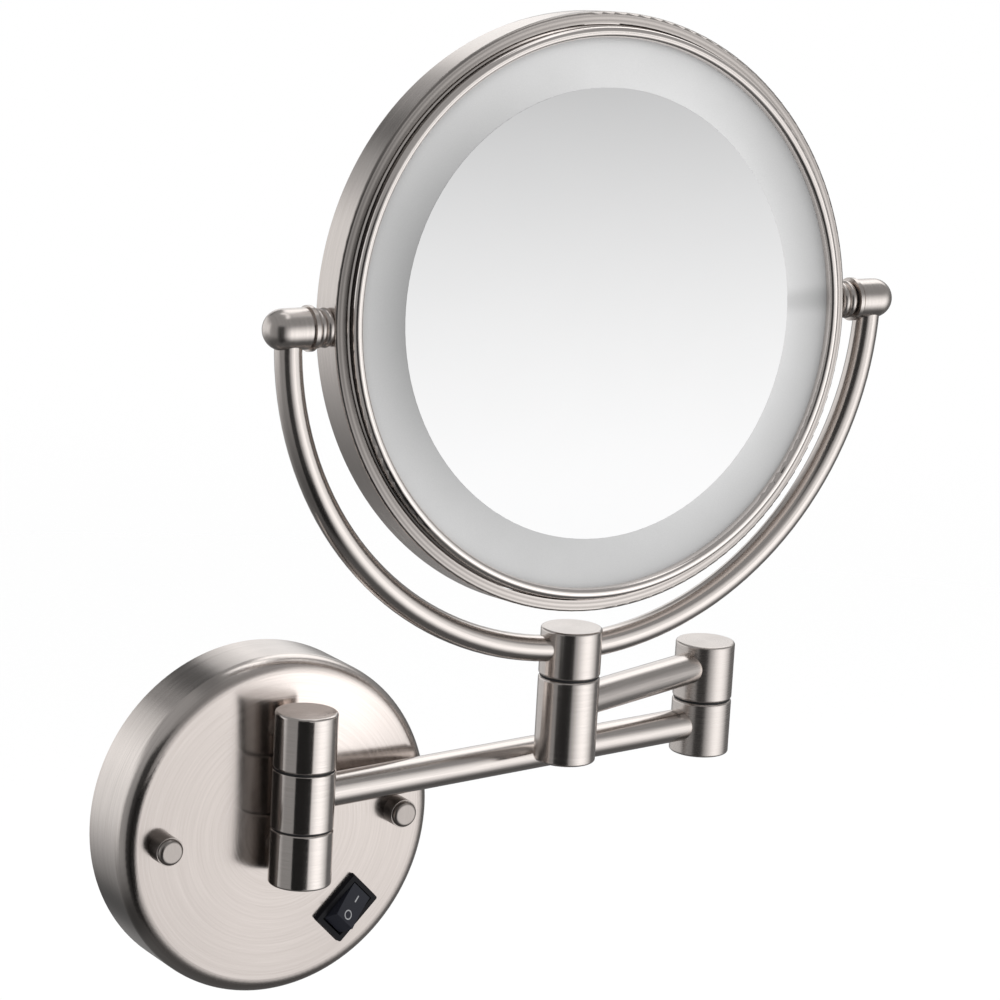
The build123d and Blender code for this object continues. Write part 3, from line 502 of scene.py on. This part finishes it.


# %% [markdown]
# ## Painted shade and light on lips, bezels and nuts
# The cap nuts and knuckle stems were only sanded and are dull. They and the drum's turned lips are
# painted darker than the knuckles, a painted shade that tones down what they reflect, on the lip
# darkest at the left. The bezels were buffed and are glossier, and a painted highlight makes them
# lighter too. Each is a change of tone on one piece, and the lip is told from the side of the drum by
# its distance from the drum's middle plane. The lathe left a few fine rings on the lip. The side shows
# broader light and dark bands than the painted room gives it, so a few are painted on as reflections.

# %% Painted shade and light on lips, bezels and nuts
DRUM_MIDDLE = -0.00145
LIP_START = 0.0060
LIP_END = 0.0068
LIP_MIDDLE = 0.1000
LIP_LINE = 0.00024
LIP_PAINTED_SHADE = 0.78
LIP_RINGS = 0.2
BEZEL_PAINTED_LIGHT = (1.28, 1.29, 1.30)
SMALL_PAINTED_SHADE = (0.58, 0.57, 0.565)


def lip_sheen(tree, tone):
    radius, turn, forward = polar(tree, PIVOT, HEAD_FORWARD)
    aside = sum_up(tree, "ABSOLUTE", sum_up(tree, "SUBTRACT", forward, DRUM_MIDDLE))
    # here a fan's strength is in metres: the painted grey shade of the lip runs over the side at the upper
    # right
    aside = all_painted_fans(tree, turn, aside, (72, 42, 0.0075), (180, 80, -0.0003))
    lip = remap(tree, aside, LIP_START, LIP_END, curve="SMOOTHSTEP")
    # painted shade: the lip darker than the side, darkest at the left
    level = all_painted_fans(tree, turn, LIP_PAINTED_SHADE, (172, 100, -0.48))
    outward = sum_up(tree, "DIVIDE", sum_up(tree, "SUBTRACT", radius, LIP_MIDDLE), LIP_LINE)
    rings = sum_up(tree, "MULTIPLY_ADD", sum_up(tree, "SINE", outward), LIP_RINGS, 1.0)
    painted_lip_shade = scaled(tree, tone, sum_up(tree, "MULTIPLY", level, rings))
    # painted reflections: broad light and dark bands of the room on the side of the drum
    painted_bands = all_painted_fans(tree, turn, 1.0, (112, 34, 0.45), (146, 16, -0.38), (228, 44, 0.45))
    return blend(tree, lip, scaled(tree, tone, painted_bands), painted_lip_shade)


# painted highlight: the bezels and bead feet lighter than bare nickel, standing in for more light on the
# beads
def buffed_sheen(tree, tone):
    return tinted(tree, tone, BEZEL_PAINTED_LIGHT)


# painted shade: nuts and stems darker than bare nickel, which tones down the bright reflection on their flat
# ends
def dull_sheen(tree, tone):
    return tinted(tree, tone, SMALL_PAINTED_SHADE)


# %% [markdown]
# ## Nickel on each piece
# One nickel for all would be simpler, but the scratches of a turned piece run round its own axis, and
# every highlight follows them. So each group of pieces gets its own axis, the fineness and length of
# its scratches, and the range of its roughness. The bezels and the knuckles at the wall are the
# glossiest, the elbow and the small nuts the dullest.

# %% Nickel on the wall and the arms
wear(
    round_nickel(
        "plate_nickel", WALL, WALL_OUT, 0.0006, 0.03, (0.15, 0.22), streak=0.7, about="Y", sheen=plate_sheen,
    ),
    "wall_plate",
)
# the nuts and stems carry a painted shade that darkens their nickel
wear(
    round_nickel("small_nickel", WALL, WALL_OUT, 0.0004, 0.004, (0.26, 0.34), sheen=dull_sheen),
    "cap_nuts", "knuckle_stems",
)
wear(
    round_nickel("wall_knuckle_nickel", WALL_HINGE, UP, 0.0003, 0.015, (0.13, 0.2), streak=0.7, about="Z"),
    "top_knuckle", "bottom_knuckle", "inner_arm_knuckle",
)
wear(
    round_nickel("elbow_nickel", ELBOW, UP, 0.0003, 0.015, (0.24, 0.33), streak=0.5, about="Z"),
    "elbow_lower_knuckle", "elbow_upper_knuckle", "elbow_cap",
)
wear(
    round_nickel("front_knuckle_nickel", FRONT, UP, 0.0003, 0.015, (0.18, 0.26), streak=0.6, about="Z"),
    "front_lower_knuckle", "front_upper_knuckle", "swivel_cap",
)
wear(
    long_nickel("inner_arm_nickel", WALL_HINGE, ELBOW - WALL_HINGE, 0.0003, 0.02, (0.16, 0.24)),
    "inner_arm_tube",
)
wear(
    long_nickel("outer_arm_nickel", FRONT, OUTER_ROOT - FRONT, 0.0003, 0.02, (0.16, 0.24)),
    "outer_arm_tube",
)

# %% Nickel on the yoke and the head
wear(round_nickel("yoke_nickel", PIVOT, YOKE_FORWARD, 0.0003, 0.02, (0.16, 0.24)), "yoke_tube")
wear(
    round_nickel("finial_nickel", PIVOT, ACROSS, 0.0003, 0.01, (0.2, 0.28), streak=0.4, about="X"),
    "left_finial", "right_finial", "left_trunnion", "right_trunnion",
)
wear(
    round_nickel(
        "drum_nickel", PIVOT, HEAD_FORWARD, 0.0005, 0.03, (0.2, 0.28), streak=0.5, about="Y", sheen=lip_sheen,
    ),
    "drum",
)
# the bezels' nickel carries a painted highlight that lightens it
bezel_nickel = round_nickel(
    "bezel_nickel", PIVOT, HEAD_FORWARD, 0.0004, 0.03, (0.11, 0.18), streak=0.3, about="Y",
    sheen=buffed_sheen,
)
wear(bezel_nickel, "front_bezel", "rear_bezel")
print("nickel finishes", len([finish for finish in bpy.data.materials if finish.name.endswith("nickel")]))

# %% [markdown]
# ## Mirror glass
# Both panes are silvered glass, which is a clean mirror with the least haze from wiping. A plain glossy
# finish would do, but a little noise in its tone and gloss keeps the pane from looking like a hole.

# %% Silvered panes
SILVER_DARK = (0.925, 0.925, 0.928, 1)
SILVER_LIGHT = (0.945, 0.945, 0.948, 1)


def silver(name):
    finish = new_finish(name)
    tree = finish.node_tree
    wiping = noise(tree, on_axis(tree, PIVOT, HEAD_FORWARD), 22.0, 5.0, Distortion=1.2)
    tone = blend(tree, wiping, SILVER_DARK, SILVER_LIGHT)
    haze = remap(tree, wiping, 0.35, 0.7, 0.004, 0.02)
    shader = add(tree, "BsdfPrincipled", {"Base Color": tone, "Metallic": 1.0, "Roughness": haze})
    add(tree, "OutputMaterial", {"Surface": shader.outputs[0]})
    return finish


wear(silver("front_silver"), "front_mirror")
rear_silver = silver("rear_silver")

# %% [markdown]
# ## Round pieces on the head
# The new pieces on the mirror head are all round about its axis. A section could be spun, but a circle
# that is drawn from point to point of the section gives the same even rings of faces, with no seam to
# close. One helper draws the open skin, one joins its two ends, and one ends the work on a mesh.

# %% Helpers for round pieces
SIDES = 192
SMOOTH_BELOW = radians(30)
head_turn = Vector((0, 0, 1)).rotation_difference(HEAD_FORWARD)


def on_head(forward):
    """A place on the head's axis, that far in front of the pivot."""
    return PIVOT + HEAD_FORWARD * forward


def draw_circle(name, section):
    """A circle drawn through the section's points, which are radius and forward. It stays in edit mode."""
    radius, forward = section[0]
    bpy.ops.object.select_all(action="DESELECT")
    bpy.ops.mesh.primitive_circle_add(
        vertices=SIDES, radius=radius, fill_type="NOTHING", location=on_head(forward),
        rotation=head_turn.to_euler(),
    )
    piece = bpy.context.object
    piece.name = name
    bpy.ops.object.transform_apply(location=True, rotation=True, scale=True)
    bpy.ops.object.mode_set(mode="EDIT")
    bpy.ops.mesh.select_all(action="SELECT")
    for next_radius, next_forward in section[1:]:
        bpy.ops.mesh.extrude_edges_move()
        bpy.ops.transform.resize(value=(next_radius / radius,) * 3, center_override=on_head(forward))
        bpy.ops.transform.translate(value=HEAD_FORWARD * (next_forward - forward))
        radius, forward = next_radius, next_forward
    return piece


def join_ends():
    bpy.ops.mesh.select_all(action="DESELECT")
    bpy.ops.mesh.select_non_manifold()
    bpy.ops.mesh.bridge_edge_loops()


def end_mesh():
    """Turns all faces outward and leaves edit mode."""
    bpy.ops.mesh.select_all(action="SELECT")
    bpy.ops.mesh.normals_make_consistent(inside=False)
    bpy.ops.object.mode_set(mode="OBJECT")


# %% [markdown]
# ## Magnifying pane
# The pane at the back is hollow, so it magnifies. A mirror shows every flaw in its surface, and the
# flat triangles of the CAD mesh meet badly at the middle, so this pane is modelled again: the rim of
# the glass is drawn inwards in even rings that follow the hollow, and the skin is then drawn forward to
# the thickness of the glass.

# %% Rear pane
PANE_R = 0.0958
PANE_FACE = -0.0097
PANE_THICK = 0.0022
PANE_CURVE = 1.5
PANE_RINGS = 12


def hollow(radius):
    """How far forward of the rim's face the hollow lies at that radius."""
    return (PANE_CURVE**2 - radius**2) ** 0.5 - (PANE_CURVE**2 - PANE_R**2) ** 0.5


pane_radii = [PANE_R * ring / PANE_RINGS for ring in range(PANE_RINGS, -1, -1)]
rear_pane = draw_circle("rear_pane", [(radius, PANE_FACE + hollow(radius)) for radius in pane_radii])
bpy.ops.mesh.merge(type="CENTER")
bpy.ops.mesh.select_all(action="SELECT")
bpy.ops.mesh.extrude_region_move(TRANSFORM_OT_translate={"value": HEAD_FORWARD * PANE_THICK})
end_mesh()
bpy.ops.object.shade_smooth_by_angle(angle=SMOOTH_BELOW)
rear_pane.data.materials.append(rear_silver)
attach(rear_pane, "mirror_head")
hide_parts("rear_mirror")
print("rear pane faces", len(rear_pane.data.polygons))

# %% [markdown]
# ## Etched ring
# The front pane has a wide etched ring, through which the light shines when it is on. It could be a
# mask in the finish of the glass, but the etched layer is modelled as a thin ring in its recess, so it
# has its own surface and a fine bright edge. Light and shade are painted into its tone: lighter at the
# top, darker at the left and in a narrow band at the right, and across its width darker outside on the
# right and inside on the left, as the shade of the light tray behind would fall through it.

# %% Ring in the recess
GLASS_FACE = 0.0069
RING_INNER = 0.07712
RING_OUTER = 0.09398
RING_SEAT = GLASS_FACE - 0.0002
RING_FACE = GLASS_FACE - 0.00004

ring_section = (
    (RING_OUTER, RING_SEAT), (RING_OUTER, RING_FACE), (RING_INNER, RING_FACE), (RING_INNER, RING_SEAT),
)
etched = draw_circle("etched_ring", ring_section)
join_ends()
end_mesh()
bpy.ops.object.shade_smooth_by_angle(angle=SMOOTH_BELOW)
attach(etched, "mirror_head")
print("etched ring faces", len(etched.data.polygons))

# %% Etched finish
ETCH_MIDDLE = 0.0855
ETCH_HALF = 0.0085
ETCH_DARK = (0.45, 0.45, 0.45, 1)
ETCH_LIGHT = (0.60, 0.60, 0.60, 1)
PAINTED_SHADE_SLANT = -0.20
SPECKLE_SHARE = 0.75
CLOUD_SHARE = 0.25

frost = new_finish("etched_glass")
tree = frost.node_tree
at = on_axis(tree, PIVOT, HEAD_FORWARD)
radius, turn, _ = polar(tree, PIVOT, HEAD_FORWARD)
# painted shade across the ring's width: darker outside on the right and inside on the left
outward = sum_up(tree, "DIVIDE", sum_up(tree, "SUBTRACT", radius, ETCH_MIDDLE), ETCH_HALF)
rightward = sum_up(tree, "MULTIPLY", outward, sum_up(tree, "COSINE", turn))
painted_shade_slant = sum_up(tree, "MULTIPLY", rightward, PAINTED_SHADE_SLANT)
# painted light and shade round the ring: lighter at the top, darker at the left and in a narrow band at the
# right
painted_fans = all_painted_fans(tree, turn, painted_shade_slant, (80, 58, 0.19), (170, 68, -0.25), (0, 4.5, -0.2))
speckle = noise(tree, at, 2600.0, 3.0, Roughness=0.7)
cloud = noise(tree, at, 60.0, 3.0)
clouded = sum_up(tree, "MULTIPLY", cloud, CLOUD_SHARE)
grains = sum_up(tree, "ADD", sum_up(tree, "MULTIPLY", speckle, SPECKLE_SHARE), clouded)
tone = scaled(tree, blend(tree, grains, ETCH_DARK, ETCH_LIGHT), sum_up(tree, "ADD", painted_fans, 1.0))
bump = add(tree, "Bump", {"Height": speckle, "Strength": 0.2, "Distance": 0.00005})
shader = add(
    tree, "BsdfPrincipled",
    {
        "Base Color": tone, "Roughness": 0.55, "Normal": bump.outputs["Normal"],
        "Specular IOR Level": 0.4,
    },
)
add(tree, "OutputMaterial", {"Surface": shader.outputs[0]})
etched.data.materials.append(frost)
print("etched finish has", len(tree.nodes), "nodes")

# %% [markdown]
# ## Foot of the bead
# The rolled bead of a bezel ends in a small foot, which closes the groove down to a fine dark line
# beside the drum's lip. It could be turned with the bezel in the CAD model, but it is there for the eye
# alone, so a thin ring of its own is enough: a circle is drawn up, in and down, and then closed. The
# rear ring is a turned copy.

# %% Bead feet
FOOT_OUTER = 0.0984
FOOT_INNER = 0.0977
FOOT_SEAT = 0.0046
FOOT_EDGE = 0.0056
FOOT_TOP = 0.0062
FOOT_SMOOTH_BELOW = radians(50)

foot_section = (
    (FOOT_OUTER, FOOT_SEAT), (FOOT_OUTER, FOOT_EDGE), (FOOT_INNER, FOOT_TOP), (FOOT_INNER, FOOT_SEAT),
)
front_foot = draw_circle("front_bead_foot", foot_section)
join_ends()
end_mesh()
bpy.ops.object.shade_smooth_by_angle(angle=FOOT_SMOOTH_BELOW)
bpy.ops.object.duplicate(linked=False)
rear_foot = bpy.context.object
rear_foot.name = "rear_bead_foot"
to_middle = Matrix.Translation(on_head(DRUM_MIDDLE))
rear_foot.matrix_world = to_middle @ Matrix.Rotation(pi, 4, HEAD_UP) @ to_middle.inverted()
bpy.ops.object.transform_apply(location=True, rotation=True, scale=True)
for foot in (front_foot, rear_foot):
    foot.data.materials.append(bezel_nickel)
    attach(foot, "mirror_head")
    print(foot.name, "faces", len(foot.data.polygons))

# %% [markdown]
# ## Black plastic of the switch
# The switch is moulded in black nylon with a fine matt texture from the spark-eroded tool. A little
# gloss stays on it, so its edges can be told from its faces. The same helper serves every other
# plastic.

# %% Moulded plastic
def moulded(name, dark, light, gloss, grain=0.00025, height=0.00004, shine=0.5):
    finish = new_finish(name)
    tree = finish.node_tree
    spark = noise(tree, add(tree, "TexCoord").outputs["Object"], 1 / grain)
    bump = add(tree, "Bump", {"Height": spark, "Strength": 0.3, "Distance": height})
    shader = add(
        tree, "BsdfPrincipled",
        {
            "Base Color": blend(tree, spark, dark, light), "Roughness": remap(tree, spark, 0.3, 0.7, *gloss),
            "Normal": bump.outputs["Normal"], "Specular IOR Level": shine,
        },
    )
    add(tree, "OutputMaterial", {"Surface": shader.outputs[0]})
    return finish


# %% Plastic on each piece
BLACK = (0.006, 0.006, 0.007, 1)
SOFT_BLACK = (0.014, 0.014, 0.016, 1)
wear(moulded("switch_frame_black", BLACK, SOFT_BLACK, (0.3, 0.42), shine=0.08), "switch_housing")
wear(
    moulded("rocker_black", (0.012, 0.013, 0.018, 1), (0.020, 0.021, 0.029, 1), (0.32, 0.45), shine=0.16),
    "switch_rocker",
)
wear(
    moulded("washer_black", BLACK, SOFT_BLACK, (0.5, 0.6)),
    "wall_hinge_washers", "elbow_washer", "swivel_washer", "pivot_washers",
)
wear(moulded("grommet_rubber", BLACK, SOFT_BLACK, (0.6, 0.75)), "cable_grommet")
wear(
    moulded("lead_grey", (0.16, 0.16, 0.165, 1), (0.21, 0.21, 0.215, 1), (0.45, 0.55)),
    "inner_arm_lead", "outer_arm_lead", "yoke_lead",
)
wear(
    moulded("case_white", (0.78, 0.78, 0.77, 1), (0.84, 0.84, 0.83, 1), (0.4, 0.5)),
    "light_tray", "led_driver",
)
wear(moulded("opal_acrylic", (0.82, 0.82, 0.81, 1), (0.86, 0.86, 0.85, 1), (0.3, 0.4)), "diffuser")
wear(moulded("board_white", (0.7, 0.71, 0.7, 1), (0.78, 0.79, 0.78, 1), (0.35, 0.45)), "led_board")
wear(moulded("led_phosphor", (0.72, 0.6, 0.2, 1), (0.82, 0.7, 0.3, 1), (0.3, 0.4)), "led_chips")

# %% [markdown]
# ## Marks on the rocker
# The rocker carries the usual printed signs, a ring for off and a bar for on, in grey ink. They could
# be part of the finish, but thin raised pieces keep a clean edge close up. Each lies on the hollow top
# of the rocker, so it is tilted to the slope of the top where it sits. The rocker's own place comes from
# its joint: it stands square on the plate's dome and rests at one end of its travel.

# %% Place of the rocker
DOME_R = 0.8
PLATE_DEPTH = 0.0266
ROCKER_TILT = radians(17)

rocker_pivot = joint_places["switch_rock"]
switch_cross = -joint_axes["switch_rock"]
switch_out = (rocker_pivot - Vector((0, DOME_R - PLATE_DEPTH, 0))).normalized()
switch_along = switch_cross.cross(switch_out)
rocked = Quaternion(switch_cross, ROCKER_TILT)
rocker_along = rocked @ switch_along
rocker_out = rocked @ switch_out
print("rocker turns at", [round(v, 4) for v in rocker_pivot])

# %% Helpers for the marks
TOP_HALF = 0.0065
TOP_LOW = 0.0065
TOP_HOLLOW = 0.0003
INK_SUNK = 0.00003
INK_DEEP = 0.00008


def on_rocker(sideways):
    """A place just under the rocker's top at that distance along it, and the turn that lies on the top."""
    height = TOP_LOW + TOP_HOLLOW * (sideways / TOP_HALF) ** 2
    slope = 2 * TOP_HOLLOW * sideways / TOP_HALF**2
    along = (rocker_along + rocker_out * slope).normalized()
    out = along.cross(switch_cross)
    place = rocker_pivot + rocker_along * sideways + rocker_out * height - out * INK_SUNK
    return place, out, Matrix((along, switch_cross, out)).transposed().to_euler()


def thicken(out):
    """Draws a flat mark up to the thickness of the ink and ends the work on it."""
    bpy.ops.mesh.select_all(action="SELECT")
    bpy.ops.mesh.extrude_region_move(TRANSFORM_OT_translate={"value": out * INK_DEEP})
    end_mesh()


# %% Ring for off
OFF_PLACE = -0.0038
OFF_R = 0.00175
OFF_INNER_R = 0.00132
OFF_SIDES = 48

place, out, turn = on_rocker(OFF_PLACE)
bpy.ops.object.select_all(action="DESELECT")
bpy.ops.mesh.primitive_circle_add(
    vertices=OFF_SIDES, radius=OFF_R, fill_type="NOTHING", location=place, rotation=turn,
)
off_mark = bpy.context.object
off_mark.name = "off_mark"
bpy.ops.object.transform_apply(location=True, rotation=True, scale=True)
bpy.ops.object.mode_set(mode="EDIT")
bpy.ops.mesh.select_all(action="SELECT")
bpy.ops.mesh.extrude_edges_move()
bpy.ops.transform.resize(value=(OFF_INNER_R / OFF_R,) * 3, center_override=place)
thicken(out)

# %% Bar for on
ON_PLACE = 0.0028
ON_LENGTH = 0.0026
ON_WIDTH = 0.00055
ON_CORNER = 0.0001

place, out, turn = on_rocker(ON_PLACE)
bpy.ops.object.select_all(action="DESELECT")
bpy.ops.mesh.primitive_plane_add(size=ON_LENGTH, location=place, rotation=turn)
on_mark = bpy.context.object
on_mark.name = "on_mark"
on_mark.scale.y = ON_WIDTH / ON_LENGTH
bpy.ops.object.transform_apply(location=True, rotation=True, scale=True)
bpy.ops.object.mode_set(mode="EDIT")
bpy.ops.mesh.select_all(action="SELECT")
bpy.ops.mesh.bevel(offset=ON_CORNER, segments=3, affect="VERTICES")
thicken(out)

# %% Ink
INK_DARK = (0.26, 0.26, 0.27, 1)
INK_LIGHT = (0.36, 0.36, 0.37, 1)
ink = moulded("grey_ink", INK_DARK, INK_LIGHT, (0.45, 0.6), grain=0.0002, height=0.00001)
for mark in (off_mark, on_mark):
    mark.data.materials.append(ink)
    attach(mark, "rocker")
    print(mark.name, "faces", len(mark.data.polygons))

# %% [markdown]
# ## Plain metal inside
# Pins, nuts, studs and bushes are out of sight, in zinc-plated steel and brass. They are turned too,
# but no one looks closely, so one even noise is enough for them.

# %% Hidden metal
def turned(name, dark, light, gloss):
    finish = new_finish(name)
    tree = finish.node_tree
    marks = noise(tree, add(tree, "TexCoord").outputs["Object"], 1500.0, 4.0)
    tone = blend(tree, marks, dark, light)
    rough = remap(tree, marks, 0.3, 0.7, *gloss)
    shader = add(tree, "BsdfPrincipled", {"Base Color": tone, "Metallic": 1.0, "Roughness": rough})
    add(tree, "OutputMaterial", {"Surface": shader.outputs[0]})
    return finish


wear(
    turned("zinc_steel", (0.50, 0.51, 0.53, 1), (0.62, 0.63, 0.65, 1), (0.25, 0.38)),
    "wall_bracket", "bracket_studs", "stem_nuts", "wall_hinge_pin", "elbow_pin", "elbow_nut", "elbow_spring",
    "swivel_pin", "swivel_nut", "swivel_spring", "pivot_pins", "trunnion_nuts",
)
wear(
    turned("bush_brass", (0.55, 0.40, 0.17, 1), (0.68, 0.52, 0.25, 1), (0.22, 0.32)),
    "inner_arm_bush", "elbow_bush", "swivel_bush", "switch_terminals",
)
print("finishes", len(bpy.data.materials))

# %% [markdown]
# ## End

# %% End
import json
